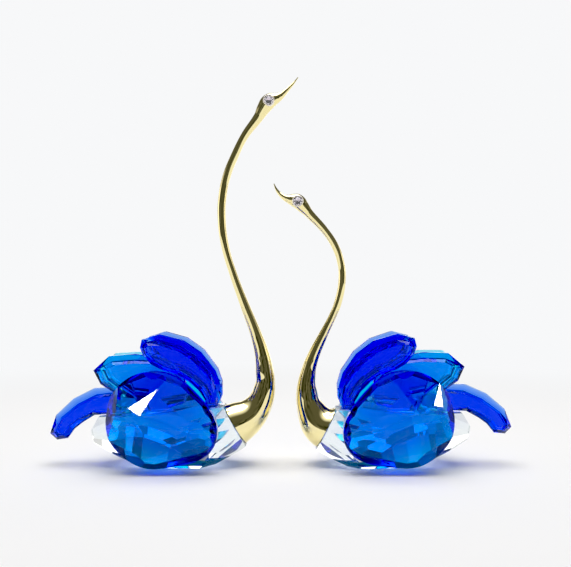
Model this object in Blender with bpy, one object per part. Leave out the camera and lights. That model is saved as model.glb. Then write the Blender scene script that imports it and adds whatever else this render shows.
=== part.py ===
"""A matched pair of crystal swan figurines, one with a long neck and one with a short neck.

Each swan is a clear crystal body with two blue pear-shaped side gems, a pair of upper wings, a pair of
middle wings and a tail feather, all cut from blue crystal, and a polished gold neck casting with two
rhinestone eyes. The swans face each other along X and share one design: the short swan is the same bird
turned half round, with its own neck, and its crystal work is set leaning a few degrees forward.

A swan is described in its own frame: X towards the beak, Y to its left, Z up, from the foot's centre.
Lengths are in millimetres and MM turns them into metres.
"""

import math
from collections import namedtuple

import bmesh
import bpy
from mathutils import Matrix, Vector

MM = 0.001
LEFT = Vector((0.0, 1.0, 0.0))
GLUE_GAP = 0.3  # between pieces that are glued face to face

TALL_PLACE = -57.4  # X of the tall swan's foot centre
SHORT_PLACE = 58.3  # X of the short swan's foot centre
SHORT_LEAN = 3.0  # degrees that the short swan's crystal work leans forward over its foot

# The clear body: its side profile, from the foot's rear edge round the breast, back and rump.
BODY_PROFILE = (
    (-14.0, 0.0),
    (14.0, 0.0),
    (23.0, 2.1),
    (39.0, 11.5),
    (27.0, 31.8),
    (-39.5, 26.6),
    (-43.3, 19.4),
    (-41.5, 13.0),
    (-28.0, 6.2),
)
BREAST_LOW, BREAST_HIGH, BACK_REAR = BODY_PROFILE[3:6]
BODY_HALF_WIDTH = 15.1
# Flats ground on each flank: a point on the flat, degrees turned forward and degrees tipped up.
BODY_FLATS = (
    ((20.0, 15.1, 20.0), 9.0, 0.0),
    ((-25.0, 15.1, 20.0), -19.0, 0.0),
    ((-31.0, 13.2, 20.5), -24.0, 14.0),
    ((-31.0, 13.2, 15.5), -20.0, -12.0),
    ((30.0, 13.9, 20.0), 4.0, 24.0),
    ((30.0, 13.4, 13.0), 20.0, -14.0),
    ((-36.0, 11.2, 10.0), -30.0, -48.0),
    ((29.0, 12.4, 6.5), 26.0, -48.0),
    ((0.0, 15.1, 5.0), 0.0, -36.0),
    ((0.0, 11.6, 0.0), 0.0, -58.0),
)

# The side gem: a pear outline in the plane of the flank, its face and its back ground with flats.
GEM_CENTRE = (-7.5, 28.0)
GEM_RADIUS = 24.8
GEM_POINT = 9.2  # how far the pointed end stands beyond the circle
GEM_POINT_ANGLE = -19.0  # degrees from forward, upwards
GEM_POINT_SPREAD = 70.0  # degrees each way over which the point swells
GEM_SIDES = 64
GEM_BACK = BODY_HALF_WIDTH + GLUE_GAP
GEM_DEPTH = 14.6
# Steep flats round the face, each running from one of these points to the next: forward and up in gem
# radii, depth below the face in gem radii.
GEM_RIM = (
    (-0.635, 0.748, 0.13),
    (-0.900, -0.320, 0.07),
    (-0.355, -0.787, 0.0),
    (0.060, -0.875, 0.0),
    (1.120, -0.620, 0.0),
    (1.350, -0.280, 0.0),
    (1.087, 0.226, 0.0),
    (0.580, 0.710, 0.0),
    (0.217, 0.896, 0.0),
)
GEM_RIM_TILT = 36.0
# Shallow flats on the rear of the face: a point in gem radii, depth there, the way it faces and its tilt.
GEM_FACE_FLATS = (
    ((-0.25, 0.11), 0.0, 145.8, 12.0),
    ((0.11, 0.64), 0.0, 140.4, 15.2),
    ((-0.25, 0.11), 0.0, 173.3, 13.0),
    ((-0.55, 0.215), 0.0653, 150.0, 17.0),
)
# Rings of flats round the gem's back, from the rim inwards: how many, tilt, swing of the tilt from flat to
# flat, width and first angle.
GEM_BACK_RINGS = ((13, 43.0, 2.0, 3.4, 8.0), (11, 29.0, 11.0, 5.0, 25.0), (9, 17.0, 13.0, 7.0, 10.0))
GEM_SWING_STEP = 2.4  # radians of the swing's sine wave from one flat to the next

# Feathers: flat crystals standing on the body's back, bevelled all round on both faces by a wide outer band
# and a narrower step inside it up to the broad face.
# seat: where the foot starts and ends along the back. splay_x and offset: X of the point that the feather is
# splayed about and how far from the middle that point stands. band: how much of the bevel's width the outer
# band takes. outline: X, Z, bevel width and how much of the bevel's height the outer band takes, from the
# seat's front end over the top to the tip and back underneath.
Feather = namedtuple("Feather", "seat splay_x offset thickness band outline")
FEATHER_SPLAY = 8.5  # degrees that the paired feathers open towards the tail
FEATHER_EDGE = 1.8  # thickness of the straight edge
SEAT_BEVEL = 0.5
SEAT_RISE = 0.5
UPPER_WING = Feather(
    seat=(17.4, 23.5),
    splay_x=20.0,
    offset=8.1,
    thickness=6.4,
    band=0.55,
    outline=(
        (25.4, 36.5, 3.2, 0.3),
        (25.4, 44.1, 5.0, 0.3),
        (22.8, 51.4, 5.8, 0.3),
        (15.2, 61.3, 6.2, 0.3),
        (5.8, 67.7, 6.2, 0.3),
        (-6.8, 71.0, 5.6, 0.3),
        (-15.9, 68.2, 4.2, 0.3),
        (-16.8, 63.8, 3.0, 0.3),
        (-15.2, 59.8, 2.8, 0.3),
        (-10.8, 55.0, 2.6, 0.3),
        (-5.2, 51.9, 2.4, 0.3),
        (2.5, 49.4, 2.3, 0.3),
        (8.5, 45.8, 2.3, 0.3),
        (14.0, 40.8, 2.2, 0.3),
        (17.2, 35.8, 1.8, 0.3),
    ),
)
MIDDLE_WING = Feather(
    seat=(-13.5, 3.0),
    splay_x=-4.0,
    offset=5.0,
    thickness=6.4,
    band=0.70,
    outline=(
        (6.5, 38.0, 2.0, 0.35),
        (5.5, 46.0, 2.5, 0.35),
        (0.0, 53.5, 3.5, 0.35),
        (-9.0, 58.8, 4.4, 0.35),
        (-20.5, 60.1, 4.8, 0.35),
        (-33.7, 59.2, 4.8, 0.35),
        (-41.8, 51.7, 3.4, 0.85),
        (-38.1, 44.4, 3.2, 0.85),
        (-31.5, 40.0, 2.4, 0.85),
        (-23.0, 36.5, 2.0, 0.85),
        (-16.0, 33.0, 1.4, 0.85),
    ),
)
TAIL_FEATHER = Feather(
    seat=(-34.7, -20.0),
    splay_x=-30.0,
    offset=0.0,
    thickness=8.6,
    band=0.80,
    outline=(
        (-21.5, 34.0, 1.6, 0.3),
        (-26.0, 39.0, 3.0, 0.3),
        (-33.0, 41.6, 4.4, 0.3),
        (-43.1, 41.1, 5.0, 0.3),
        (-54.3, 35.5, 5.0, 0.3),
        (-63.7, 26.6, 4.0, 0.3),
        (-66.9, 16.8, 3.0, 0.9),
        (-63.2, 13.4, 2.8, 0.9),
        (-57.4, 14.2, 2.8, 0.9),
        (-53.9, 19.1, 3.2, 0.9),
        (-49.4, 22.7, 3.0, 0.9),
        (-43.1, 26.6, 2.2, 0.9),
    ),
)

# Neck castings: X, Z and radius of the round section along the centreline, from the breast to the head.
TALL_NECK = (
    (43.9, 29.8, 8.0),
    (48.9, 42.4, 5.65),
    (48.5, 51.1, 4.8),
    (47.4, 58.3, 4.05),
    (44.3, 69.1, 3.15),
    (38.1, 85.3, 2.5),
    (32.1, 101.5, 2.1),
    (27.3, 117.7, 2.1),
    (25.4, 133.8, 2.2),
    (25.9, 144.7, 2.2),
    (28.1, 155.5, 2.2),
    (32.4, 166.3, 2.15),
    (37.8, 177.1, 2.15),
)
SHORT_NECK = (
    (42.4, 30.3, 7.4),
    (44.4, 41.1, 5.4),
    (43.4, 49.9, 4.1),
    (41.4, 56.7, 3.4),
    (35.2, 70.2, 2.5),
    (30.9, 78.8, 2.1),
    (27.4, 87.5, 2.05),
    (25.2, 100.4, 2.0),
    (26.0, 109.1, 1.95),
    (29.0, 117.7, 2.0),
    (34.5, 126.0, 2.0),
)
NECK_BASE_RADIUS = 11.6
NECK_BASE_HANDLE = 5.0
# Head and beak: the same three values measured from the eye.
TALL_HEAD = (
    (-5.3, -7.9, 2.8),
    (-2.7, -3.4, 3.7),
    (0.0, 0.0, 4.15),
    (2.5, 1.3, 3.5),
    (4.7, 2.2, 2.6),
    (6.9, 3.6, 1.85),
    (9.7, 6.2, 1.2),
    (12.8, 9.3, 0.7),
    (15.8, 13.1, 0.25),
)
SHORT_HEAD = (
    (-5.9, -6.3, 2.5),
    (-2.9, -2.9, 3.4),
    (0.0, 0.0, 3.95),
    (2.5, 0.8, 3.4),
    (4.6, 1.3, 2.5),
    (6.7, 2.0, 1.75),
    (9.1, 3.6, 1.15),
    (11.3, 6.2, 0.7),
    (12.9, 9.6, 0.25),
)
TALL_EYE = (50.9, 195.7)
SHORT_EYE = (49.2, 141.8)

BEZEL_RADIUS = 3.05
BEZEL_REACH = 4.6  # from the head's middle to the bezel's rim
STONE_RADIUS = 2.35
STONE_TABLE = 1.35
STONE_CROWN = 0.8
STONE_GIRDLE = 0.6
STONE_SIDES = 12
DRUM_SIDES = 24  # of the bezels and their pockets
POCKET_OVERRUN = 1.0  # how far the pocket's cutter runs out past the rim
BAR_STEPS = 3  # along the neck between two points, and round a quarter of it
SHARP_ANGLE = 50.0  # degrees between faces that read as an edge on the casting


def clear_scene():
    for obj in list(bpy.data.objects):
        bpy.data.objects.remove(obj, do_unlink=True)


def make_collection(name):
    collection = bpy.data.collections.new(name)
    bpy.context.scene.collection.children.link(collection)
    return collection


def make_material(name, colour, roughness, metallic=0.0, transmission=0.0):
    material = bpy.data.materials.new(name)
    material.use_nodes = True
    material.diffuse_color = (*colour, 1.0)
    shader = material.node_tree.nodes["Principled BSDF"]
    shader.inputs["Base Color"].default_value = (*colour, 1.0)
    shader.inputs["Roughness"].default_value = roughness
    shader.inputs["Metallic"].default_value = metallic
    shader.inputs["Transmission Weight"].default_value = transmission
    return material


def lean_forward(bm, lean):
    """Tips a piece of crystal work forward about the middle of the foot."""
    bmesh.ops.rotate(bm, matrix=Matrix.Rotation(math.radians(lean), 3, "Y"), verts=bm.verts)


def make_object(bm, name, collection, material, parent):
    """Turns a bmesh in millimetres into a named object in metres."""
    bmesh.ops.recalc_face_normals(bm, faces=bm.faces)
    bmesh.ops.scale(bm, vec=(MM, MM, MM), verts=bm.verts)
    mesh = bpy.data.meshes.new(name)
    bm.to_mesh(mesh)
    bm.free()
    mesh.materials.append(material)
    obj = bpy.data.objects.new(name, mesh)
    obj.parent = parent
    collection.objects.link(obj)
    return obj


def extruded_outline(points, thickness):
    """A prism with the outline in XZ, from half the thickness on one side of Y = 0 to half on the other."""
    bm = bmesh.new()
    verts = [bm.verts.new((x, -thickness / 2, z)) for x, z in points]
    face = bm.faces.new(verts)
    grown = bmesh.ops.extrude_face_region(bm, geom=[face])
    moved = [v for v in grown["geom"] if isinstance(v, bmesh.types.BMVert)]
    bmesh.ops.translate(bm, vec=(0.0, thickness, 0.0), verts=moved)
    bmesh.ops.recalc_face_normals(bm, faces=bm.faces)
    return bm


def grind(bm, point, normal):
    """Grinds one flat: takes off what lies beyond the plane and closes the cut."""
    geometry = bm.verts[:] + bm.edges[:] + bm.faces[:]
    cut = bmesh.ops.bisect_plane(
        bm, geom=geometry, dist=1e-5, plane_co=point, plane_no=normal, clear_outer=True
    )
    rim = [e for e in cut["geom_cut"] if isinstance(e, bmesh.types.BMEdge)]
    bmesh.ops.holes_fill(bm, edges=rim, sides=0)


def flank_normal(turn, tip):
    """Straight out to the left, turned forward and tipped up by the given degrees."""
    turn, tip = math.radians(turn), math.radians(tip)
    return Vector((math.sin(turn) * math.cos(tip), math.cos(turn) * math.cos(tip), math.sin(tip)))


def mirrored(vector):
    return Vector((vector[0], -vector[1], vector[2]))


def clear_body(name, lean, collection, material, parent):
    bm = extruded_outline(BODY_PROFILE, 2 * BODY_HALF_WIDTH)
    for point, turn, tip in BODY_FLATS:
        normal = flank_normal(turn, tip)
        grind(bm, point, normal)
        grind(bm, mirrored(point), mirrored(normal))
    if lean:
        lean_forward(bm, lean)
        grind(bm, (0.0, 0.0, 0.0), (0.0, 0.0, -1.0))
    return make_object(bm, name, collection, material, parent)


def pear_radius(angle):
    """The gem's outline: a circle that swells into a blunt point."""
    away = math.remainder(angle - math.radians(GEM_POINT_ANGLE), 2 * math.pi)
    spread = math.radians(GEM_POINT_SPREAD)
    if abs(away) >= spread:
        return GEM_RADIUS
    return GEM_RADIUS + GEM_POINT * math.cos(math.pi / 2 * away / spread) ** 3


def pear_outline():
    points = []
    for side in range(GEM_SIDES):
        angle = 2 * math.pi * side / GEM_SIDES
        radius = pear_radius(angle)
        x = GEM_CENTRE[0] + radius * math.cos(angle)
        z = GEM_CENTRE[1] + radius * math.sin(angle)
        points.append((x, z))
    return points


def gem_point(along, up, depth):
    """A point on the left gem from its place in gem radii and its depth below the gem's face."""
    return Vector(
        (
            GEM_CENTRE[0] + along * GEM_RADIUS,
            GEM_BACK + GEM_DEPTH - depth * GEM_RADIUS,
            GEM_CENTRE[1] + up * GEM_RADIUS,
        )
    )


def grind_gem_face(bm):
    """The shallow flats on the rear of the face and the steep ones round its rim."""
    for (along, up), depth, azimuth, tilt in GEM_FACE_FLATS:
        turn, slope = math.radians(azimuth), math.radians(tilt)
        outward = Vector((math.cos(turn), 0.0, math.sin(turn)))
        grind(bm, gem_point(along, up, depth), outward * math.sin(slope) + LEFT * math.cos(slope))
    slope = math.radians(GEM_RIM_TILT)
    for start, end in zip(GEM_RIM, GEM_RIM[1:] + GEM_RIM[:1]):
        first = gem_point(*start)
        chord = gem_point(end[0], end[1], start[2]) - first
        outward = LEFT.cross(chord).normalized()
        grind(bm, first, outward * math.sin(slope) + LEFT * math.cos(slope))


def grind_gem_back(bm, outline):
    """Rings of flats that chain from the middle of the back out to the rim."""
    inset = sum(width for _, _, _, width, _ in GEM_BACK_RINGS)
    rise = 0.0
    for count, tilt, swing, width, first_angle in reversed(GEM_BACK_RINGS):
        for flat in range(count):
            turn = math.radians(first_angle + 360 * flat / count)
            slope = math.radians(tilt + swing * math.sin(GEM_SWING_STEP * flat))
            outward = Vector((math.cos(turn), 0.0, math.sin(turn)))
            reach = max(x * outward.x + z * outward.z for x, z in outline) - inset
            start = outward * reach + LEFT * (GEM_BACK + rise)
            grind(bm, start, outward * math.sin(slope) - LEFT * math.cos(slope))
        inset -= width
        rise += width * math.tan(math.radians(tilt))


def side_gem(name, side, lean, collection, material, parent):
    """A pear-shaped crystal on one flank: side is 1 for the left and -1 for the right."""
    outline = pear_outline()
    bm = extruded_outline(outline, GEM_DEPTH)
    bmesh.ops.translate(bm, vec=LEFT * (GEM_BACK + GEM_DEPTH / 2), verts=bm.verts)
    grind_gem_face(bm)
    grind_gem_back(bm, outline)
    if side < 0:
        bmesh.ops.scale(bm, vec=(1.0, -1.0, 1.0), verts=bm.verts)
    lean_forward(bm, lean)
    return make_object(bm, name, collection, material, parent)


def back_height(x):
    """Height of the body's sloping back."""
    slope = (BREAST_HIGH[1] - BACK_REAR[1]) / (BREAST_HIGH[0] - BACK_REAR[0])
    return BACK_REAR[1] + slope * (x - BACK_REAR[0])


def inset_outline(outline, share):
    """The outline moved inwards by a share of each corner's own bevel width."""
    inset = []
    for index, (x, z, width, _) in enumerate(outline):
        corner = Vector((x, z))
        before = (corner - Vector(outline[index - 1][:2])).normalized()
        after = (Vector(outline[(index + 1) % len(outline)][:2]) - corner).normalized()
        out_before = Vector((before.y, -before.x))
        out_after = Vector((after.y, -after.x))
        mitre = (out_before + out_after) / (1 + out_before.dot(out_after))
        inset.append(corner - mitre * width * share)
    return inset


def bridge(bm, lower, upper):
    """Faces between two loops of as many corners."""
    for index in range(len(lower)):
        after = (index + 1) % len(lower)
        bm.faces.new((lower[index], lower[after], upper[after], upper[index]))


def feather(name, side, shape, lean, collection, material, parent):
    """A bevelled crystal feather, splayed about its seat. side is 1 for left, -1 for right, 0 for central."""
    seat = [(x, back_height(x) + GLUE_GAP, SEAT_BEVEL, SEAT_RISE) for x in shape.seat]
    outline = (*seat, *shape.outline)
    half, edge = shape.thickness / 2, FEATHER_EDGE / 2
    bm = bmesh.new()
    loops = []
    for face, share in ((-1, 1.0), (-1, shape.band), (-1, 0.0), (1, 0.0), (1, shape.band), (1, 1.0)):
        loop = []
        for point, (_, _, _, rise) in zip(inset_outline(outline, share), outline):
            height = {0.0: 0.0, shape.band: rise, 1.0: 1.0}[share]
            loop.append(bm.verts.new((point.x, face * (edge + height * (half - edge)), point.y)))
        loops.append(loop)
    for lower, upper in zip(loops, loops[1:]):
        bridge(bm, lower, upper)
    bm.faces.new(loops[0])
    bm.faces.new(loops[-1])
    about = Vector((shape.splay_x, 0.0, 0.0))
    splay = Matrix.Rotation(math.radians(-FEATHER_SPLAY * side), 3, "Z")
    bmesh.ops.rotate(bm, cent=about, matrix=splay, verts=bm.verts)
    bmesh.ops.translate(bm, vec=LEFT * side * shape.offset, verts=bm.verts)
    lean_forward(bm, lean)
    return make_object(bm, name, collection, material, parent)


def breast_frame(lean):
    """The middle of the breast flat that the neck is glued to, and the flat's outward direction."""
    turn = Matrix.Rotation(math.radians(-lean), 2)
    low, high = turn @ Vector(BREAST_LOW), turn @ Vector(BREAST_HIGH)
    middle = (low + high) / 2
    along = (high - low).normalized()
    return middle, Vector((along.y, -along.x))


def neck_route(neck, head, eye, lean):
    """Every X, Z and radius from the breast to the beak's tip."""
    middle, outward = breast_frame(lean)
    base = middle + GLUE_GAP * outward
    beak = [(eye[0] + x, eye[1] + z, radius) for x, z, radius in head]
    return [(base.x, base.y, NECK_BASE_RADIUS), *neck, *beak]


def neck_curve(name, route, lean):
    """A round tapering bar along the route."""
    curve = bpy.data.curves.new(name, "CURVE")
    curve.dimensions = "3D"
    curve.bevel_depth = MM
    curve.bevel_resolution = BAR_STEPS
    curve.resolution_u = BAR_STEPS
    curve.use_fill_caps = True
    spline = curve.splines.new("BEZIER")
    spline.radius_interpolation = "CARDINAL"
    spline.bezier_points.add(len(route) - 1)
    for point, (x, z, radius) in zip(spline.bezier_points, route):
        point.co = (x * MM, 0.0, z * MM)
        point.radius = radius
        point.handle_left_type = "AUTO"
        point.handle_right_type = "AUTO"
    first = spline.bezier_points[0]
    _, outward = breast_frame(lean)
    reach = Vector((outward.x, 0.0, outward.y)) * NECK_BASE_HANDLE * MM
    first.handle_left_type = "FREE"
    first.handle_right_type = "FREE"
    first.handle_left = first.co - reach
    first.handle_right = first.co + reach
    return curve


def as_mesh(name, curve):
    """The curve's surface as a closed mesh, with its loose caps welded on."""
    guide = bpy.data.objects.new(name + "_guide", curve)
    bpy.context.scene.collection.objects.link(guide)
    graph = bpy.context.evaluated_depsgraph_get()
    mesh = bpy.data.meshes.new_from_object(guide.evaluated_get(graph))
    bpy.data.objects.remove(guide, do_unlink=True)
    bm = bmesh.new()
    bm.from_mesh(mesh)
    bmesh.ops.remove_doubles(bm, verts=bm.verts, dist=1e-6)
    bmesh.ops.recalc_face_normals(bm, faces=bm.faces)
    bm.to_mesh(mesh)
    bm.free()
    return mesh


def across_drum(radius, near, far):
    """A cylinder along Y between two values of Y."""
    bm = bmesh.new()
    bmesh.ops.create_cone(
        bm, cap_ends=True, segments=DRUM_SIDES, radius1=radius, radius2=radius, depth=far - near
    )
    bmesh.ops.rotate(bm, matrix=Matrix.Rotation(math.pi / 2, 3, "X"), verts=bm.verts)
    bmesh.ops.translate(bm, vec=(0.0, (near + far) / 2, 0.0), verts=bm.verts)
    return bm


def add_boolean(obj, cutter, operation):
    modifier = obj.modifiers.new(operation.title(), "BOOLEAN")
    modifier.object = cutter
    modifier.operation = operation
    modifier.solver = "EXACT"


def neck_casting(name, route, eye, lean, collection, cutters, material, parent):
    """The gold neck, head and beak in one piece, with a bezel and an open pocket for each eye."""
    mesh = as_mesh(name, neck_curve(name, route, lean))
    mesh.materials.clear()
    mesh.materials.append(material)
    neck = bpy.data.objects.new(name, mesh)
    neck.parent = parent
    collection.objects.link(neck)
    drum = across_drum(BEZEL_RADIUS, -BEZEL_REACH, BEZEL_REACH)
    bezels = make_object(drum, name + "_bezels", cutters, material, neck)
    add_boolean(neck, bezels, "UNION")
    pocket_floor = BEZEL_REACH - STONE_GIRDLE - GLUE_GAP
    for side in (-1, 1):
        near, far = sorted((side * pocket_floor, side * (BEZEL_REACH + POCKET_OVERRUN)))
        drum = across_drum(STONE_RADIUS + GLUE_GAP, near, far)
        pocket = make_object(drum, f"{name}_pocket_{side}", cutters, material, neck)
        add_boolean(neck, pocket, "DIFFERENCE")
    for helper in cutters.objects:
        helper.hide_render = True
        helper.display_type = "WIRE"
        if helper.parent == neck:
            helper.location = (eye[0] * MM, 0.0, eye[1] * MM)
    mesh.shade_smooth()
    mesh.set_sharp_from_angle(angle=math.radians(SHARP_ANGLE))
    return neck


def eye_stone(name, side, eye, collection, material, parent):
    """A small brilliant: a straight girdle under a faceted crown with a flat table."""
    bm = bmesh.new()
    bmesh.ops.create_cone(
        bm,
        cap_ends=True,
        segments=STONE_SIDES,
        radius1=STONE_RADIUS,
        radius2=STONE_TABLE,
        depth=STONE_CROWN,
    )
    bmesh.ops.translate(bm, vec=(0.0, 0.0, STONE_CROWN / 2), verts=bm.verts)
    bm.faces.ensure_lookup_table()
    base = min(bm.faces, key=lambda face: face.calc_center_median().z)
    grown = bmesh.ops.extrude_face_region(bm, geom=[base])
    moved = [v for v in grown["geom"] if isinstance(v, bmesh.types.BMVert)]
    bmesh.ops.translate(bm, vec=(0.0, 0.0, -STONE_GIRDLE), verts=moved)
    bmesh.ops.delete(bm, geom=[base], context="FACES")
    bmesh.ops.rotate(bm, matrix=Matrix.Rotation(-side * math.pi / 2, 3, "X"), verts=bm.verts)
    bmesh.ops.translate(bm, vec=(eye[0], side * BEZEL_REACH, eye[1]), verts=bm.verts)
    return make_object(bm, name, collection, material, parent)


def swan(prefix, place, heading, lean, neck, head, eye, collection, cutters, finish):
    """One whole bird on an empty at its foot. heading is degrees about Z, 0 facing +X."""
    foot = bpy.data.objects.new(prefix + "_foot", None)
    foot.location = (place * MM, 0.0, 0.0)
    foot.rotation_euler = (0.0, 0.0, math.radians(heading))
    collection.objects.link(foot)
    royal, azure = finish["royal"], finish["azure"]
    clear_body(prefix + "_clear_body", lean, collection, finish["clear"], foot)
    for hand, side in (("left", 1), ("right", -1)):
        side_gem(f"{prefix}_{hand}_side_gem", side, lean, collection, finish["gem"], foot)
        feather(f"{prefix}_{hand}_upper_wing", side, UPPER_WING, lean, collection, royal, foot)
        feather(f"{prefix}_{hand}_middle_wing", side, MIDDLE_WING, lean, collection, azure, foot)
        eye_stone(f"{prefix}_{hand}_eye_stone", side, eye, collection, finish["rhinestone"], foot)
    feather(prefix + "_tail_feather", 0, TAIL_FEATHER, lean, collection, royal, foot)
    route = neck_route(neck, head, eye, lean)
    neck_casting(prefix + "_neck_casting", route, eye, lean, collection, cutters, finish["gold"], foot)


def main():
    clear_scene()
    pair = make_collection("crystal_swan_pair")
    cutters = make_collection("cutters")
    finish = {
        "clear": make_material("clear_crystal", (0.93, 0.96, 0.98), 0.02, transmission=1.0),
        "gem": make_material("blue_gem_crystal", (0.02, 0.16, 0.75), 0.02, transmission=1.0),
        "azure": make_material("azure_crystal", (0.02, 0.28, 0.90), 0.02, transmission=1.0),
        "royal": make_material("royal_blue_crystal", (0.0, 0.03, 0.82), 0.02, transmission=1.0),
        "gold": make_material("polished_gold", (0.86, 0.72, 0.34), 0.06, metallic=1.0),
        "rhinestone": make_material("rhinestone", (0.95, 0.94, 0.97), 0.02, transmission=1.0),
    }
    swan("tall", TALL_PLACE, 0.0, 0.0, TALL_NECK, TALL_HEAD, TALL_EYE, pair, cutters, finish)
    swan("short", SHORT_PLACE, 180.0, SHORT_LEAN, SHORT_NECK, SHORT_HEAD, SHORT_EYE, pair, cutters, finish)


main()
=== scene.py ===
"""The looks of the crystal swan pair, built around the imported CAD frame.

A swan is described in its own frame, as in the CAD: X towards the beak, Y to its left, Z up, from the
foot's centre, in millimetres. MM turns them into metres.
"""

import math
from collections import namedtuple

import bmesh
import bpy
from mathutils import Matrix, Vector


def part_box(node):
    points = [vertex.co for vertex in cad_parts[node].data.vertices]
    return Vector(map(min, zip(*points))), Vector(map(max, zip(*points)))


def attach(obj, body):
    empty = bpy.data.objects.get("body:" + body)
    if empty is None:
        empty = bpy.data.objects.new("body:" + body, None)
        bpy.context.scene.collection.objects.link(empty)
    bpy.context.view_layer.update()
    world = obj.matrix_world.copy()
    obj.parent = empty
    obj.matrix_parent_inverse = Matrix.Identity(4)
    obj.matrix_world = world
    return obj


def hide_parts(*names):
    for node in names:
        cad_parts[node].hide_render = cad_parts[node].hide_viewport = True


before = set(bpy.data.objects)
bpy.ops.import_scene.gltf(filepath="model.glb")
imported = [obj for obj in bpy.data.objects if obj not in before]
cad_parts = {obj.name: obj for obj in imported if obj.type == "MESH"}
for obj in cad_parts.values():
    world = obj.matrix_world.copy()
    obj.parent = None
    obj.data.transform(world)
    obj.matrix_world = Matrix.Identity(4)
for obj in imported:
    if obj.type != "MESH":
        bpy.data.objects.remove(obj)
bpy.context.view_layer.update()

MM = 0.001

# Camera: level, in front of the pair.
CAMERA_AT = Vector((0.0025, -0.459, 0.0975))
IMAGE_WIDTH = 571
FOCAL_PIXELS = 850.0
SENSOR = 36.0

# One bird: the eye's X and Z in its own frame, degrees about Z, degrees that the crystal work leans forward,
# and X, Z and radius along the neck, and along the head and beak measured from the eye.
Swan = namedtuple("Swan", "name eye heading lean neck head")

# What each crystal takes out of red, green and blue light, per millimetre.
ROYAL_LOSS = (0.65, 0.38, 0.010)
AZURE_LOSS = (0.60, 0.115, 0.006)
GEM_LOSS = (0.30, 0.062, 0.004)
CLEAR_LOSS = (0.0035, 0.0012, 0.0008)
STONE_LOSS = (0.002, 0.010, 0.001)
CRYSTAL_IOR = 1.53

ARRIS = 0.05  # the polished edge between two flats
ARRIS_ANGLE = 7.0  # degrees between two flats from which their edge is polished
SAME_FLAT_ANGLE = 0.3  # degrees within which two faces are one flat
GLUE_GAP = 0.3

# The clear body: its side profile, from the foot's rear edge round the breast, back and rump.
BODY_PROFILE = (
    (-14.0, 0.0),
    (14.0, 0.0),
    (23.0, 2.1),
    (39.0, 11.5),
    (27.0, 31.8),
    (-39.5, 26.6),
    (-43.3, 19.4),
    (-41.5, 13.0),
    (-28.0, 6.2),
)
BREAST_LOW, BREAST_HIGH, BACK_REAR = BODY_PROFILE[3:6]
BODY_HALF_WIDTH = 15.1
# Flats ground on each flank: a point on the flat, degrees turned forward and degrees tipped up.
BODY_FLATS = (
    ((20.0, 15.1, 20.0), 9.0, 0.0),
    ((-25.0, 15.1, 20.0), -19.0, 0.0),
    ((-31.0, 13.2, 20.5), -24.0, 14.0),
    ((-31.0, 13.2, 15.5), -20.0, -12.0),
    ((30.0, 13.9, 20.0), 4.0, 24.0),
    ((30.0, 13.4, 13.0), 20.0, -14.0),
    ((-36.0, 11.2, 10.0), -30.0, -48.0),
    ((29.0, 12.4, 6.5), 26.0, -48.0),
    ((0.0, 15.1, 5.0), 0.0, -36.0),
    ((0.0, 11.6, 0.0), 0.0, -58.0),
)

# The side gem: a pear outline in the plane of the flank.
GEM_CENTRE = (-7.5, 28.0)
GEM_RADIUS = 24.8
GEM_POINT = 9.2  # how far the pointed end stands beyond the circle
GEM_POINT_ANGLE = -19.0  # degrees from forward, upwards
GEM_POINT_SPREAD = 70.0  # degrees each way over which the point swells
GEM_SIDES = 96
GEM_BACK = BODY_HALF_WIDTH + GLUE_GAP
GEM_DEPTH = 14.6
# Steep flats round the face, each running from one of these points to the next: forward and up in gem
# radii, depth below the face in gem radii.
GEM_RIM = (
    (-0.635, 0.748, 0.13),
    (-0.900, -0.320, 0.07),
    (-0.355, -0.787, 0.0),
    (0.060, -0.875, 0.0),
    (1.120, -0.620, 0.0),
    (1.350, -0.280, 0.0),
    (1.087, 0.226, 0.0),
    (0.580, 0.710, 0.0),
    (0.217, 0.896, 0.0),
)
GEM_RIM_TILT = 36.0
# Shallow flats on the rear of the face: a point in gem radii, depth there, the way it faces and its tilt.
GEM_FACE_FLATS = (
    ((-0.25, 0.11), 0.0, 145.8, 12.0),
    ((0.11, 0.64), 0.0, 140.4, 15.2),
    ((-0.25, 0.11), 0.0, 173.3, 13.0),
    ((-0.55, 0.215), 0.0653, 150.0, 17.0),
)
# Rings of flats round the gem's back, from the rim inwards: how many, tilt, swing of the tilt from flat to
# flat, width and first angle.
GEM_BACK_RINGS = ((13, 43.0, 2.0, 3.4, 8.0), (11, 29.0, 11.0, 5.0, 25.0), (9, 17.0, 13.0, 7.0, 10.0))
GEM_SWING_STEP = 2.4  # radians of the swing's sine wave from one flat to the next

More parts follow.
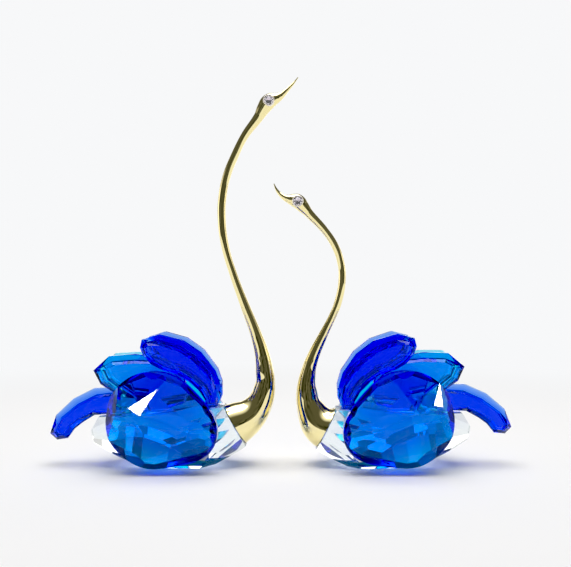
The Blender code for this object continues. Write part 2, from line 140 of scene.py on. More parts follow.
# Feathers: flat crystals standing on the body's back, bevelled all round on both faces by a wide outer band
# and a narrower step inside it up to the broad face.
# seat: where the foot starts and ends along the back. splay_x and offset: X of the point that the feather is
# splayed about and how far from the middle that point stands. band: how much of the bevel's width the outer
# band takes. outline: X, Z, bevel width and how much of the bevel's height the outer band takes, from the
# seat's front end over the top to the tip and back underneath.
Feather = namedtuple("Feather", "seat splay_x offset thickness band outline")
FEATHER_SPLAY = 8.5  # degrees that the paired feathers open towards the tail
FEATHER_EDGE = 1.8  # thickness of the straight edge
SEAT_BEVEL = 0.5
SEAT_RISE = 0.5
UPPER_WING = Feather(
    seat=(17.4, 23.5),
    splay_x=20.0,
    offset=8.1,
    thickness=6.4,
    band=0.55,
    outline=(
        (25.4, 36.5, 3.2, 0.3),
        (25.4, 44.1, 5.0, 0.3),
        (22.8, 51.4, 5.8, 0.3),
        (15.2, 61.3, 6.2, 0.3),
        (5.8, 67.7, 6.2, 0.3),
        (-6.8, 71.0, 5.6, 0.3),
        (-15.9, 68.2, 4.2, 0.3),
        (-16.8, 63.8, 3.0, 0.3),
        (-15.2, 59.8, 2.8, 0.3),
        (-10.8, 55.0, 2.6, 0.3),
        (-5.2, 51.9, 2.4, 0.3),
        (2.5, 49.4, 2.3, 0.3),
        (8.5, 45.8, 2.3, 0.3),
        (14.0, 40.8, 2.2, 0.3),
        (17.2, 35.8, 1.8, 0.3),
    ),
)
MIDDLE_WING = Feather(
    seat=(-13.5, 3.0),
    splay_x=-4.0,
    offset=5.0,
    thickness=6.4,
    band=0.70,
    outline=(
        (6.5, 38.0, 2.0, 0.35),
        (5.5, 46.0, 2.5, 0.35),
        (0.0, 53.5, 3.5, 0.35),
        (-9.0, 58.8, 4.4, 0.35),
        (-20.5, 60.1, 4.8, 0.35),
        (-33.7, 59.2, 4.8, 0.35),
        (-41.8, 51.7, 3.4, 0.85),
        (-38.1, 44.4, 3.2, 0.85),
        (-31.5, 40.0, 2.4, 0.85),
        (-23.0, 36.5, 2.0, 0.85),
        (-16.0, 33.0, 1.4, 0.85),
    ),
)
TAIL_FEATHER = Feather(
    seat=(-34.7, -20.0),
    splay_x=-30.0,
    offset=0.0,
    thickness=8.6,
    band=0.80,
    outline=(
        (-21.5, 34.0, 1.6, 0.3),
        (-26.0, 39.0, 3.0, 0.3),
        (-33.0, 41.6, 4.4, 0.3),
        (-43.1, 41.1, 5.0, 0.3),
        (-54.3, 35.5, 5.0, 0.3),
        (-63.7, 26.6, 4.0, 0.3),
        (-66.9, 16.8, 3.0, 0.9),
        (-63.2, 13.4, 2.8, 0.9),
        (-57.4, 14.2, 2.8, 0.9),
        (-53.9, 19.1, 3.2, 0.9),
        (-49.4, 22.7, 3.0, 0.9),
        (-43.1, 26.6, 2.2, 0.9),
    ),
)

NECK_BASE_RADIUS = 11.6
NECK_BASE_HANDLE = 5.0
NECK_SHARP_ANGLE = 50.0  # degrees between faces that read as an edge
NECK_ROUND_STEPS = 10
NECK_LENGTH_STEPS = 12  # between two points of the neck
TALL_NECK = (
    (43.9, 29.8, 8.0),
    (48.9, 42.4, 5.65),
    (48.5, 51.1, 4.8),
    (47.4, 58.3, 4.05),
    (44.3, 69.1, 3.15),
    (38.1, 85.3, 2.5),
    (32.1, 101.5, 2.1),
    (27.3, 117.7, 2.1),
    (25.4, 133.8, 2.2),
    (25.9, 144.7, 2.2),
    (28.1, 155.5, 2.2),
    (32.4, 166.3, 2.15),
    (37.8, 177.1, 2.15),
)
SHORT_NECK = (
    (42.4, 30.3, 7.4),
    (44.4, 41.1, 5.4),
    (43.4, 49.9, 4.1),
    (41.4, 56.7, 3.4),
    (35.2, 70.2, 2.5),
    (30.9, 78.8, 2.1),
    (27.4, 87.5, 2.05),
    (25.2, 100.4, 2.0),
    (26.0, 109.1, 1.95),
    (29.0, 117.7, 2.0),
    (34.5, 126.0, 2.0),
)
TALL_HEAD = (
    (-5.3, -7.9, 2.8),
    (-2.7, -3.4, 3.7),
    (0.0, 0.0, 4.15),
    (2.5, 1.3, 3.5),
    (4.7, 2.2, 2.6),
    (6.9, 3.6, 1.85),
    (9.7, 6.2, 1.2),
    (12.8, 9.3, 0.7),
    (15.8, 13.1, 0.25),
)
SHORT_HEAD = (
    (-5.9, -6.3, 2.5),
    (-2.9, -2.9, 3.4),
    (0.0, 0.0, 3.95),
    (2.5, 0.8, 3.4),
    (4.6, 1.3, 2.5),
    (6.7, 2.0, 1.75),
    (9.1, 3.6, 1.15),
    (11.3, 6.2, 0.7),
    (12.9, 9.6, 0.25),
)
SWANS = (
    Swan("tall", (50.9, 195.7), 0.0, 0.0, TALL_NECK, TALL_HEAD),
    Swan("short", (49.2, 141.8), 180.0, 3.0, SHORT_NECK, SHORT_HEAD),
)
HANDS = (("left", 1), ("right", -1))

# The eye: radius and Y of each turned edge, the left eye's.
POCKET_RADIUS = 2.6
POCKET_FLOOR = 2.2
POCKET_TOP = 7.0  # well outside the head, so that the pocket is open
POCKET_PROFILE = (
    (0.0, POCKET_FLOOR),
    (POCKET_RADIUS, POCKET_FLOOR),
    (POCKET_RADIUS, POCKET_TOP),
    (0.0, POCKET_TOP),
)
BEZEL_PROFILE = (
    (3.15, 2.4),
    (3.1, 4.1),
    (3.0, 4.45),
    (2.82, 4.6),
    (2.62, 4.58),
    (2.48, 4.42),
    (2.44, 4.15),
    (2.44, 2.4),
)
FOIL_PROFILE = ((0.0, 2.35), (1.35, 3.2), (2.43, 4.28), (2.38, 4.36), (1.25, 3.42), (0.0, 2.55))
TURNED_STEPS = 48
FOIL_STEPS = 24
BEZEL_SHARP_ANGLE = 40.0  # degrees between faces that read as an edge
# Rings of the stone's corners: how many, radius, Y and first angle in corners.
STONE_RINGS = (
    (8, 1.3, 5.35, 0.0),
    (8, 1.9, 5.05, 0.5),
    (16, 2.35, 4.6, 0.0),
    (16, 2.35, 4.45, 0.0),
    (8, 1.2, 3.5, 0.5),
    (1, 0.0, 2.7, 0.0),
)
STONE_IOR = 1.6

BLACK_LEVEL = (0.04, 0.03, 0.03)
GLASS_BOUNCES = 24
MIRROR_BOUNCES = 8


def add_node(tree, kind, **settings):
    node = tree.nodes.new(kind)
    for name, value in settings.items():
        setattr(node, name, value)
    return node


def new_material(name):
    material = bpy.data.materials.new(name)
    material.use_nodes = True
    tree = material.node_tree
    return material, tree, tree.nodes["Principled BSDF"], tree.nodes["Material Output"]


def polish_marks(tree, shader, low, high, scale, bump=0.0):
    """Roughness and, if asked for, a very faint wave that vary over the polished surface."""
    place = add_node(tree, "ShaderNodeTexCoord")
    noise = add_node(tree, "ShaderNodeTexNoise")
    noise.inputs["Scale"].default_value = scale
    noise.inputs["Detail"].default_value = 3.0
    span = add_node(tree, "ShaderNodeMapRange")
    span.inputs["To Min"].default_value = low
    span.inputs["To Max"].default_value = high
    tree.links.new(place.outputs["Object"], noise.inputs["Vector"])
    tree.links.new(noise.outputs["Fac"], span.inputs["Value"])
    tree.links.new(span.outputs["Result"], shader.inputs["Roughness"])
    if not bump:
        return
    wave = add_node(tree, "ShaderNodeBump")
    wave.inputs["Strength"].default_value = bump
    wave.inputs["Distance"].default_value = 0.1 * MM
    tree.links.new(noise.outputs["Fac"], wave.inputs["Height"])
    tree.links.new(wave.outputs["Normal"], shader.inputs["Normal"])


def crystal(name, loss_per_mm, ior=CRYSTAL_IOR):
    """Glass whose colour comes from its depth, as real coloured crystal's does."""
    material, tree, shader, output = new_material(name)
    shader.inputs["Base Color"].default_value = (1.0, 1.0, 1.0, 1.0)
    shader.inputs["Transmission Weight"].default_value = 1.0
    shader.inputs["IOR"].default_value = ior
    polish_marks(tree, shader, 0.0, 0.03, 240.0)
    density = max(loss_per_mm) / MM
    absorption = add_node(tree, "ShaderNodeVolumeAbsorption")
    absorption.inputs["Color"].default_value = (*(1 - part / MM / density for part in loss_per_mm), 1.0)
    absorption.inputs["Density"].default_value = density
    tree.links.new(absorption.outputs["Volume"], output.inputs["Volume"])
    return material


def polished_gold():
    material, tree, shader, _ = new_material("polished_gold_plate")
    shader.inputs["Base Color"].default_value = (0.98, 0.87, 0.47, 1.0)
    shader.inputs["Metallic"].default_value = 1.0
    polish_marks(tree, shader, 0.02, 0.07, 180.0, 0.02)
    return material


def bezel_gold_painted_highlight():
    """Paler, duller and half as metallic as the neck gold, on the rim rolled over the stone: the near-white
    colour is a painted highlight that makes the rim read as a bright ring.
    """
    material, tree, shader, _ = new_material("pale_gold_painted_highlight")
    # Painted highlight: a near-white colour and half metal, so the bezel looks like a bright white ring.
    shader.inputs["Base Color"].default_value = (1.0, 0.95, 0.84, 1.0)
    shader.inputs["Metallic"].default_value = 0.5
    polish_marks(tree, shader, 0.30, 0.42, 900.0, 0.05)
    return material


def silver_foil():
    material, tree, shader, _ = new_material("silver_foil")
    shader.inputs["Base Color"].default_value = (0.97, 0.93, 0.96, 1.0)
    shader.inputs["Metallic"].default_value = 0.4
    polish_marks(tree, shader, 0.35, 0.5, 900.0, 0.05)
    return material


BACKDROP = (0.935, 0.94, 0.95, 1.0)
PAPER = (0.93, 0.93, 0.93, 1.0)
# The floor, in metres from the pair's middle.
FLOOR_RADIUS = 1.5
FLOOR_SIDES = 96
FADE_START = 0.15
FADE_END = 0.6


def floor_material():
    """White paper that fades into the backdrop far from the swans."""
    material, tree, shader, output = new_material("white_floor")
    tree.nodes.remove(shader)
    place = add_node(tree, "ShaderNodeTexCoord")
    length = add_node(tree, "ShaderNodeVectorMath", operation="LENGTH")
    fade = add_node(tree, "ShaderNodeMapRange", interpolation_type="SMOOTHSTEP")
    fade.inputs["From Min"].default_value = FADE_START
    fade.inputs["From Max"].default_value = FADE_END
    paper = add_node(tree, "ShaderNodeBsdfDiffuse")
    paper.inputs["Color"].default_value = PAPER
    far = add_node(tree, "ShaderNodeEmission")
    far.inputs["Color"].default_value = BACKDROP
    mix = add_node(tree, "ShaderNodeMixShader")
    tree.links.new(place.outputs["Object"], length.inputs[0])
    tree.links.new(length.outputs["Value"], fade.inputs["Value"])
    tree.links.new(fade.outputs["Result"], mix.inputs["Fac"])
    tree.links.new(paper.outputs["BSDF"], mix.inputs[1])
    tree.links.new(far.outputs["Emission"], mix.inputs[2])
    tree.links.new(mix.outputs["Shader"], output.inputs["Surface"])
    return material


# The room round the table, turning from the backdrop past the left side, behind the camera and past the
# right side: share of the turn and brightness. Dark cards stand at both sides.
ROOM = (
    (0.00, 1.0),
    (0.12, 1.0),
    (0.15, 0.30),
    (0.18, 1.0),
    (0.27, 1.0),
    (0.30, 0.11),
    (0.37, 0.06),
    (0.42, 0.12),
    (0.46, 0.07),
    (0.50, 0.12),
    (0.54, 0.07),
    (0.58, 0.12),
    (0.63, 0.06),
    (0.70, 0.11),
    (0.73, 1.0),
    (0.82, 1.0),
    (0.85, 0.30),
    (0.88, 1.0),
    (1.00, 1.0),
)
ROOM_STRENGTH = 1.2
GREEN_SHARE = 0.96  # of the room's brightness, beside its red
BLUE_SHARE = 0.92
UPPER_WALLS = (0.11, 0.105, 0.1, 1.0)
CEILING = (1.0, 1.0, 1.0, 1.0)
# Where the walls turn into the upper walls and those into the ceiling, as the Z of a unit ray.
UPPER_FROM, UPPER_TO = 0.2, 0.5
CEILING_FROM, CEILING_TO = 0.70, 0.95
PANEL_SCALE = 8.0
PANEL_DIMMEST = 0.15
PANEL_BRIGHTEST = 1.9

# Lights, in metres.
AIM = (0.0, 0.0, 0.06)
OVERHEAD_AT = (0.0, 0.05, 0.9)
OVERHEAD_SIZE = (0.9, 0.8)
OVERHEAD_RADIANCE = 2.3
# The two lamps that throw a white triangle on the near gems: the gem's place, the azimuth and elevation in
# degrees that the lamp is seen at from there, and its size.
LAMPS = (
    ("left_lamp", (-0.068, -0.03, 0.034), -28.7, 3.8, (0.16, 0.18)),
    ("right_lamp", (0.082, -0.03, 0.036), 38.0, 6.0, (0.06, 0.26)),
)
LAMP_DISTANCE = 1.2
LAMP_RADIANCE = 60.0


def studio_world():
    """A white studio with a dim room behind the camera, which itself sees only a plain backdrop."""
    world = bpy.data.worlds.new("studio")
    bpy.context.scene.world = world
    world.use_nodes = True
    tree = world.node_tree
    tree.nodes.clear()
    output = add_node(tree, "ShaderNodeOutputWorld")
    place = add_node(tree, "ShaderNodeTexCoord")
    split = add_node(tree, "ShaderNodeSeparateXYZ")
    tree.links.new(place.outputs["Generated"], split.inputs["Vector"])
    turn = add_node(tree, "ShaderNodeMath", operation="ARCTAN2")
    front = add_node(tree, "ShaderNodeMath", operation="MULTIPLY")
    front.inputs[1].default_value = -1.0
    tree.links.new(split.outputs["Y"], front.inputs[0])
    tree.links.new(split.outputs["X"], turn.inputs[0])
    tree.links.new(front.outputs["Value"], turn.inputs[1])
    share = add_node(tree, "ShaderNodeMapRange")
    share.inputs["From Min"].default_value = -math.pi
    share.inputs["From Max"].default_value = math.pi
    tree.links.new(turn.outputs["Value"], share.inputs["Value"])
    ramp = add_node(tree, "ShaderNodeValToRGB")
    band = ramp.color_ramp
    while len(band.elements) < len(ROOM):
        band.elements.new(0.5)
    for element, (position, value) in zip(band.elements, ROOM):
        element.position = position
        element.color = (value, value * GREEN_SHARE, value * BLUE_SHARE, 1.0)
    tree.links.new(share.outputs["Result"], ramp.inputs["Fac"])
    high = add_node(tree, "ShaderNodeMapRange", interpolation_type="SMOOTHSTEP")
    high.inputs["From Min"].default_value = CEILING_FROM
    high.inputs["From Max"].default_value = CEILING_TO
    tree.links.new(split.outputs["Z"], high.inputs["Value"])
    panels = add_node(tree, "ShaderNodeTexVoronoi")
    panels.inputs["Scale"].default_value = PANEL_SCALE
    tree.links.new(place.outputs["Generated"], panels.inputs["Vector"])
    panel = add_node(tree, "ShaderNodeMapRange")
    panel.inputs["To Min"].default_value = PANEL_DIMMEST
    panel.inputs["To Max"].default_value = PANEL_BRIGHTEST
    tree.links.new(panels.outputs["Color"], panel.inputs["Value"])
    low_walls = add_node(tree, "ShaderNodeVectorMath", operation="SCALE")
    tree.links.new(ramp.outputs["Color"], low_walls.inputs[0])
    tree.links.new(panel.outputs["Result"], low_walls.inputs["Scale"])
    upper = add_node(tree, "ShaderNodeMapRange", interpolation_type="SMOOTHSTEP")
    upper.inputs["From Min"].default_value = UPPER_FROM
    upper.inputs["From Max"].default_value = UPPER_TO
    tree.links.new(split.outputs["Z"], upper.inputs["Value"])
    walls = add_node(tree, "ShaderNodeMix", data_type="RGBA")
    tree.links.new(upper.outputs["Result"], walls.inputs["Factor"])
    tree.links.new(low_walls.outputs["Vector"], walls.inputs[6])
    walls.inputs[7].default_value = UPPER_WALLS
    room = add_node(tree, "ShaderNodeMix", data_type="RGBA")
    tree.links.new(high.outputs["Result"], room.inputs["Factor"])
    tree.links.new(walls.outputs[2], room.inputs[6])
    room.inputs[7].default_value = CEILING
    lit = add_node(tree, "ShaderNodeBackground")
    tree.links.new(room.outputs[2], lit.inputs["Color"])
    lit.inputs["Strength"].default_value = ROOM_STRENGTH
    plain = add_node(tree, "ShaderNodeBackground")
    plain.inputs["Color"].default_value = BACKDROP
    path = add_node(tree, "ShaderNodeLightPath")
    mix = add_node(tree, "ShaderNodeMixShader")
    tree.links.new(path.outputs["Is Camera Ray"], mix.inputs["Fac"])
    tree.links.new(lit.outputs["Background"], mix.inputs[1])
    tree.links.new(plain.outputs["Background"], mix.inputs[2])
    tree.links.new(mix.outputs["Shader"], output.inputs["Surface"])


def add_light(name, at, towards, size, radiance):
    """A flat softbox: radiance is how bright its face looks beside white paper."""
    light = bpy.data.lights.new(name, "AREA")
    light.shape = "RECTANGLE"
    light.size, light.size_y = size
    light.energy = radiance * math.pi * size[0] * size[1]
    obj = bpy.data.objects.new(name, light)
    obj.location = at
    obj.rotation_euler = (Vector(towards) - Vector(at)).to_track_quat("-Z", "Y").to_euler()
    bpy.context.scene.collection.objects.link(obj)
    return obj


def seen_from(at, azimuth, elevation, distance):
    """A place seen from a point: azimuth from straight behind the camera, to its right, in degrees."""
    turn, lift = math.radians(azimuth), math.radians(elevation)
    ray = Vector((math.sin(turn) * math.cos(lift), -math.cos(turn) * math.cos(lift), math.sin(lift)))
    return Vector(at) + distance * ray


def studio():
    """Sets up the floor, room and lights, and returns the collection that the two lamps light."""
    bpy.ops.mesh.primitive_circle_add(vertices=FLOOR_SIDES, radius=FLOOR_RADIUS, fill_type="NGON")
    floor = bpy.context.object
    floor.name = "floor"
    floor.data.materials.append(floor_material())
    studio_world()
    add_light("overhead_softbox", OVERHEAD_AT, AIM, OVERHEAD_SIZE, OVERHEAD_RADIANCE)
    lit = bpy.data.collections.new("lit_by_the_lamps")
    for name, gem, azimuth, elevation, size in LAMPS:
        at = seen_from(gem, azimuth, elevation, LAMP_DISTANCE)
        lamp = add_light(name, at, gem, size, LAMP_RADIANCE)
        lamp.visible_diffuse = False
        lamp.visible_transmission = False
        lamp.light_linking.receiver_collection = lit
    return lit


def camera():
    data = bpy.data.cameras.new("camera")
    data.sensor_width = SENSOR
    data.lens = FOCAL_PIXELS / IMAGE_WIDTH * SENSOR
    obj = bpy.data.objects.new("camera", data)
    obj.location = CAMERA_AT
    obj.rotation_euler = (math.pi / 2, 0.0, 0.0)
    bpy.context.scene.collection.objects.link(obj)
    bpy.context.scene.camera = obj


def extruded_outline(points, near, far):
    """A prism with the outline in XZ, between two values of Y."""
    bm = bmesh.new()
    verts = [bm.verts.new((x, near, z)) for x, z in points]
    face = bm.faces.new(verts)
    grown = bmesh.ops.extrude_face_region(bm, geom=[face])
    moved = [v for v in grown["geom"] if isinstance(v, bmesh.types.BMVert)]
    bmesh.ops.translate(bm, vec=(0.0, far - near, 0.0), verts=moved)
    bmesh.ops.recalc_face_normals(bm, faces=bm.faces)
    return bm


def grind(bm, point, normal):
    """Grinds one flat: takes off what lies beyond the plane and closes the cut."""
    geometry = bm.verts[:] + bm.edges[:] + bm.faces[:]
    cut = bmesh.ops.bisect_plane(
        bm, geom=geometry, dist=1e-5, plane_co=point, plane_no=normal, clear_outer=True
    )
    rim = [e for e in cut["geom_cut"] if isinstance(e, bmesh.types.BMEdge)]
    bmesh.ops.holes_fill(bm, edges=rim, sides=0)


def place_of(swan):
    """Puts a piece from the swan's frame, in millimetres, where the CAD has that swan."""
    near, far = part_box(swan.name + "_left_eye_stone")
    turn = Matrix.Rotation(math.radians(swan.heading), 4, "Z")
    eye = turn @ Vector((swan.eye[0] * MM, 0.0, 0.0))
    foot = Matrix.Translation(((near.x + far.x) / 2 - eye.x, 0.0, 0.0))
    return foot @ turn @ Matrix.Scale(MM, 4)


def make_piece(bm, name, swan, material, node, lean=True, arris=ARRIS):
    """Turns a bmesh in the swan's frame into a piece with finely rounded edges."""
    bmesh.ops.dissolve_limit(bm, angle_limit=math.radians(SAME_FLAT_ANGLE), verts=bm.verts, edges=bm.edges)
    tip = Matrix.Rotation(math.radians(swan.lean if lean else 0.0), 4, "Y")
    bmesh.ops.transform(bm, matrix=place_of(swan) @ tip, verts=bm.verts)
    bmesh.ops.recalc_face_normals(bm, faces=bm.faces)
    mesh = bpy.data.meshes.new(name)
    bm.to_mesh(mesh)
    bm.free()
    mesh.materials.append(material)
    piece = bpy.data.objects.new(name, mesh)
    bpy.context.scene.collection.objects.link(piece)
    edge = piece.modifiers.new("arris", "BEVEL")
    edge.width = arris * MM
    edge.segments = 1
    edge.limit_method = "ANGLE"
    edge.angle_limit = math.radians(ARRIS_ANGLE)
    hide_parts(node)
    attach(piece, swan.name + "_swan")
    return piece


def pear_radius(angle):
    away = math.remainder(angle - math.radians(GEM_POINT_ANGLE), 2 * math.pi)
    spread = math.radians(GEM_POINT_SPREAD)
    if abs(away) >= spread:
        return GEM_RADIUS
    return GEM_RADIUS + GEM_POINT * math.cos(math.pi / 2 * away / spread) ** 3


def gem_point(along, up, depth):
    """A point on the left gem from its place in gem radii and its depth below the gem's face."""
    return Vector(
        (
            GEM_CENTRE[0] + along * GEM_RADIUS,
            GEM_BACK + GEM_DEPTH - depth * GEM_RADIUS,
            GEM_CENTRE[1] + up * GEM_RADIUS,
        )
    )


def side_gem(swan, hand, side, material):
    outline = []
    for step in range(GEM_SIDES):
        angle = 2 * math.pi * step / GEM_SIDES
        radius = pear_radius(angle)
        outline.append((GEM_CENTRE[0] + radius * math.cos(angle), GEM_CENTRE[1] + radius * math.sin(angle)))
    bm = extruded_outline(outline, GEM_BACK, GEM_BACK + GEM_DEPTH)
    face_out = Vector((0.0, 1.0, 0.0))
    for (along, up), depth, azimuth, tilt in GEM_FACE_FLATS:
        turn, slope = math.radians(azimuth), math.radians(tilt)
        outward = Vector((math.cos(turn), 0.0, math.sin(turn)))
        grind(bm, gem_point(along, up, depth), outward * math.sin(slope) + face_out * math.cos(slope))
    slope = math.radians(GEM_RIM_TILT)
    for start, end in zip(GEM_RIM, GEM_RIM[1:] + GEM_RIM[:1]):
        first = gem_point(*start)
        chord = gem_point(end[0], end[1], start[2]) - first
        outward = face_out.cross(chord).normalized()
        grind(bm, first, outward * math.sin(slope) + face_out * math.cos(slope))
    inset = sum(width for _, _, _, width, _ in GEM_BACK_RINGS)
    rise = 0.0
    for count, tilt, swing, width, first_angle in reversed(GEM_BACK_RINGS):
        for flat in range(count):
            turn = math.radians(first_angle + 360 * flat / count)
            slope = math.radians(tilt + swing * math.sin(GEM_SWING_STEP * flat))
            outward = Vector((math.cos(turn), 0.0, math.sin(turn)))
            reach = max(Vector((x, 0.0, z)).dot(outward) for x, z in outline) - inset
            start = outward * reach + face_out * (GEM_BACK + rise)
            grind(bm, start, outward * math.sin(slope) - face_out * math.cos(slope))
        inset -= width
        rise += width * math.tan(math.radians(tilt))
    if side < 0:
        bmesh.ops.scale(bm, vec=(1.0, -1.0, 1.0), verts=bm.verts)
    node = f"{swan.name}_{hand}_side_gem"
    return make_piece(bm, node + "_crystal", swan, material, node)


def clear_body(swan, material):
    bm = extruded_outline(BODY_PROFILE, -BODY_HALF_WIDTH, BODY_HALF_WIDTH)
    for (x, y, z), turn, tip in BODY_FLATS:
        turn, tip = math.radians(turn), math.radians(tip)
        normal = (math.sin(turn) * math.cos(tip), math.cos(turn) * math.cos(tip), math.sin(tip))
        grind(bm, (x, y, z), normal)
        grind(bm, (x, -y, z), (normal[0], -normal[1], normal[2]))
    tip = Matrix.Rotation(math.radians(swan.lean), 3, "Y")
    bmesh.ops.rotate(bm, matrix=tip, verts=bm.verts)
    if swan.lean:
        grind(bm, (0.0, 0.0, 0.0), (0.0, 0.0, -1.0))
    node = swan.name + "_clear_body"
    return make_piece(bm, node + "_crystal", swan, material, node, lean=False)


def back_height(x):
    """Height of the body's sloping back."""
    slope = (BREAST_HIGH[1] - BACK_REAR[1]) / (BREAST_HIGH[0] - BACK_REAR[0])
    return BACK_REAR[1] + slope * (x - BACK_REAR[0])


def inset_outline(outline, share):
    """The outline moved inwards by a share of each corner's own bevel width."""
    inset = []
    for index, (x, z, width, _) in enumerate(outline):
        corner = Vector((x, z))
        before = (corner - Vector(outline[index - 1][:2])).normalized()
        after = (Vector(outline[(index + 1) % len(outline)][:2]) - corner).normalized()
        out_before = Vector((before.y, -before.x))
        out_after = Vector((after.y, -after.x))
        mitre = (out_before + out_after) / (1 + out_before.dot(out_after))
        inset.append(corner - mitre * width * share)
    return inset


def bridge(bm, lower, upper):
    """Faces between two loops of as many corners."""
    for index in range(len(lower)):
        after = (index + 1) % len(lower)
        bm.faces.new((lower[index], lower[after], upper[after], upper[index]))


def feather(swan, name, side, shape, material):
    seat = [(x, back_height(x) + GLUE_GAP, SEAT_BEVEL, SEAT_RISE) for x in shape.seat]
    outline = (*seat, *shape.outline)
    half, edge = shape.thickness / 2, FEATHER_EDGE / 2
    bm = bmesh.new()
    loops = []
    for face, share in ((-1, 1.0), (-1, shape.band), (-1, 0.0), (1, 0.0), (1, shape.band), (1, 1.0)):
        loop = []
        for point, (_, _, _, rise) in zip(inset_outline(outline, share), outline):
            height = {0.0: 0.0, shape.band: rise, 1.0: 1.0}[share]
            loop.append(bm.verts.new((point.x, face * (edge + height * (half - edge)), point.y)))
        loops.append(loop)
    for lower, upper in zip(loops, loops[1:]):
        bridge(bm, lower, upper)
    bm.faces.new(loops[0])
    bm.faces.new(loops[-1])
    about = Vector((shape.splay_x, 0.0, 0.0))
    splay = Matrix.Rotation(math.radians(-FEATHER_SPLAY * side), 3, "Z")
    bmesh.ops.rotate(bm, cent=about, matrix=splay, verts=bm.verts)
    bmesh.ops.translate(bm, vec=(0.0, side * shape.offset, 0.0), verts=bm.verts)
    node = f"{swan.name}_{name}"
    return make_piece(bm, node + "_crystal", swan, material, node)


def turned(profile, steps, closed):
    """A solid of revolution about Y from its radii and heights."""
    bm = bmesh.new()
    verts = [bm.verts.new((radius, y, 0.0)) for radius, y in profile]
    edges = [bm.edges.new(pair) for pair in zip(verts, verts[1:])]
    if closed:
        edges.append(bm.edges.new((verts[-1], verts[0])))
    bmesh.ops.spin(
        bm, geom=verts + edges, axis=(0.0, 1.0, 0.0), cent=(0.0, 0.0, 0.0), angle=2 * math.pi, steps=steps
    )
    bmesh.ops.remove_doubles(bm, verts=bm.verts, dist=1e-4)
    bmesh.ops.recalc_face_normals(bm, faces=bm.faces)
    return bm


def eye_part(bm, name, swan, side, material, smooth):
    """Puts a piece turned for the left eye in the swan's head, on either side."""
    bmesh.ops.scale(bm, vec=(1.0, side, 1.0), verts=bm.verts)
    bmesh.ops.translate(bm, vec=(swan.eye[0], 0.0, swan.eye[1]), verts=bm.verts)
    bmesh.ops.transform(bm, matrix=place_of(swan), verts=bm.verts)
    bmesh.ops.recalc_face_normals(bm, faces=bm.faces)
    mesh = bpy.data.meshes.new(name)
    bm.to_mesh(mesh)
    bm.free()
    mesh.materials.append(material)
    if smooth:
        mesh.shade_smooth()
        mesh.set_sharp_from_angle(angle=math.radians(BEZEL_SHARP_ANGLE))
    piece = bpy.data.objects.new(name, mesh)
    bpy.context.scene.collection.objects.link(piece)
    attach(piece, swan.name + "_swan")
    return piece


def eye(swan, hand, side, finish):
    """A brilliant on a foil cup, held by a rolled bezel."""
    node = f"{swan.name}_{hand}_eye_stone"
    bm = bmesh.new()
    for count, radius, y, first in STONE_RINGS:
        for corner in range(count):
            angle = 2 * math.pi * (corner + first) / count
            bm.verts.new((radius * math.cos(angle), y, radius * math.sin(angle)))
    bmesh.ops.convex_hull(bm, input=bm.verts)
    stone = eye_part(bm, node + "_brilliant", swan, side, finish["stone"], False)
    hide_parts(node)
    foil = turned(FOIL_PROFILE, FOIL_STEPS, closed=False)
    foil = eye_part(foil, node + "_foil", swan, side, finish["foil"], False)
    bezel = turned(BEZEL_PROFILE, TURNED_STEPS, closed=True)
    bezel = eye_part(bezel, node + "_bezel", swan, side, finish["bezel"], True)
    return stone, foil, bezel


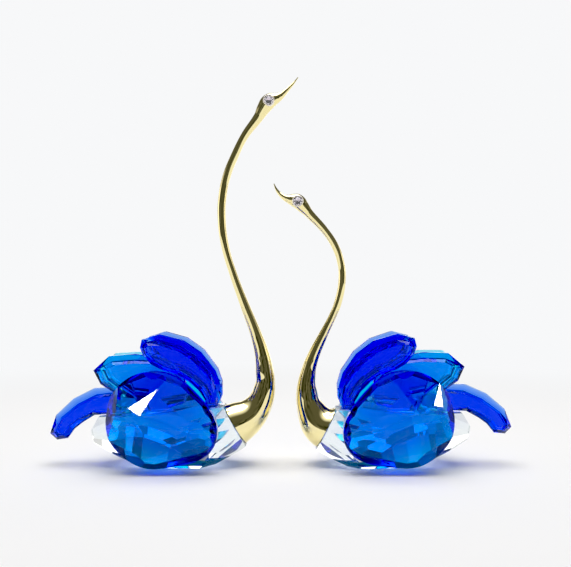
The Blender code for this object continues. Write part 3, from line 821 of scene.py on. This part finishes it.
def neck(swan, material):
    """The neck, head and beak: a smooth tapering bar with a pocket for each eye."""
    turn = Matrix.Rotation(math.radians(-swan.lean), 2)
    low, high = turn @ Vector(BREAST_LOW), turn @ Vector(BREAST_HIGH)
    along = (high - low).normalized()
    outward = Vector((along.y, -along.x))
    base = (low + high) / 2 + GLUE_GAP * outward
    beak = [(swan.eye[0] + x, swan.eye[1] + z, radius) for x, z, radius in swan.head]
    route = [(base.x, base.y, NECK_BASE_RADIUS), *swan.neck, *beak]
    name = swan.name + "_neck_casting"
    curve = bpy.data.curves.new(name, "CURVE")
    curve.dimensions = "3D"
    curve.bevel_depth = 1.0
    curve.bevel_resolution = NECK_ROUND_STEPS
    curve.resolution_u = NECK_LENGTH_STEPS
    curve.use_fill_caps = True
    spline = curve.splines.new("BEZIER")
    spline.radius_interpolation = "CARDINAL"
    spline.bezier_points.add(len(route) - 1)
    for point, (x, z, radius) in zip(spline.bezier_points, route):
        point.co = (x, 0.0, z)
        point.radius = radius
        point.handle_left_type = "AUTO"
        point.handle_right_type = "AUTO"
    first = spline.bezier_points[0]
    reach = Vector((outward.x, 0.0, outward.y)) * NECK_BASE_HANDLE
    first.handle_left_type = "FREE"
    first.handle_right_type = "FREE"
    first.handle_left = first.co - reach
    first.handle_right = first.co + reach
    guide = bpy.data.objects.new(name + "_guide", curve)
    bpy.context.scene.collection.objects.link(guide)
    graph = bpy.context.evaluated_depsgraph_get()
    mesh = bpy.data.meshes.new_from_object(guide.evaluated_get(graph))
    bpy.data.objects.remove(guide, do_unlink=True)
    bm = bmesh.new()
    bm.from_mesh(mesh)
    bmesh.ops.remove_doubles(bm, verts=bm.verts, dist=1e-4)
    bmesh.ops.recalc_face_normals(bm, faces=bm.faces)
    bmesh.ops.transform(bm, matrix=place_of(swan), verts=bm.verts)
    bm.to_mesh(mesh)
    bm.free()
    mesh.materials.clear()
    mesh.materials.append(material)
    mesh.shade_smooth()
    mesh.set_sharp_from_angle(angle=math.radians(NECK_SHARP_ANGLE))
    piece = bpy.data.objects.new(name + "_gold", mesh)
    bpy.context.scene.collection.objects.link(piece)
    for _, side in HANDS:
        pocket = turned(POCKET_PROFILE, TURNED_STEPS, closed=False)
        cut = bpy.data.meshes.new("pocket")
        bmesh.ops.scale(pocket, vec=(1.0, side, 1.0), verts=pocket.verts)
        bmesh.ops.translate(pocket, vec=(swan.eye[0], 0.0, swan.eye[1]), verts=pocket.verts)
        bmesh.ops.transform(pocket, matrix=place_of(swan), verts=pocket.verts)
        bmesh.ops.recalc_face_normals(pocket, faces=pocket.faces)
        pocket.to_mesh(cut)
        pocket.free()
        cutter = bpy.data.objects.new("pocket", cut)
        bpy.context.scene.collection.objects.link(cutter)
        drill = piece.modifiers.new("pocket", "BOOLEAN")
        drill.operation = "DIFFERENCE"
        drill.object = cutter
        graph = bpy.context.evaluated_depsgraph_get()
        drilled = bpy.data.meshes.new_from_object(piece.evaluated_get(graph))
        piece.modifiers.clear()
        piece.data = drilled
        bpy.data.objects.remove(cutter, do_unlink=True)
    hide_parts(name)
    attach(piece, swan.name + "_swan")


def look():
    scene = bpy.context.scene
    scene.view_settings.view_transform = "Standard"
    scene.view_settings.look = "None"
    scene.view_settings.use_curve_mapping = True
    scene.view_settings.curve_mapping.black_level = BLACK_LEVEL
    scene.cycles.use_denoising = True
    scene.cycles.max_bounces = GLASS_BOUNCES
    scene.cycles.transmission_bounces = GLASS_BOUNCES
    scene.cycles.glossy_bounces = MIRROR_BOUNCES
    scene.cycles.caustics_refractive = True
    scene.cycles.caustics_reflective = True
    scene.cycles.blur_glossy = 0.0


def main():
    camera()
    lit = studio()
    look()
    finish = {
        "clear": crystal("clear_crystal_glass", CLEAR_LOSS),
        "gem": crystal("blue_gem_glass", GEM_LOSS),
        "azure": crystal("azure_glass", AZURE_LOSS),
        "royal": crystal("royal_blue_glass", ROYAL_LOSS),
        "gold": polished_gold(),
        "bezel": bezel_gold_painted_highlight(),
        "foil": silver_foil(),
        "stone": crystal("rhinestone_glass", STONE_LOSS, STONE_IOR),
    }
    for swan in SWANS:
        clear_body(swan, finish["clear"])
        feather(swan, "tail_feather", 0, TAIL_FEATHER, finish["royal"])
        for hand, side in HANDS:
            lit.objects.link(side_gem(swan, hand, side, finish["gem"]))
            feather(swan, hand + "_upper_wing", side, UPPER_WING, finish["royal"])
            feather(swan, hand + "_middle_wing", side, MIDDLE_WING, finish["azure"])
            for piece in eye(swan, hand, side, finish):
                lit.objects.link(piece)
        neck(swan, finish["gold"])


main()
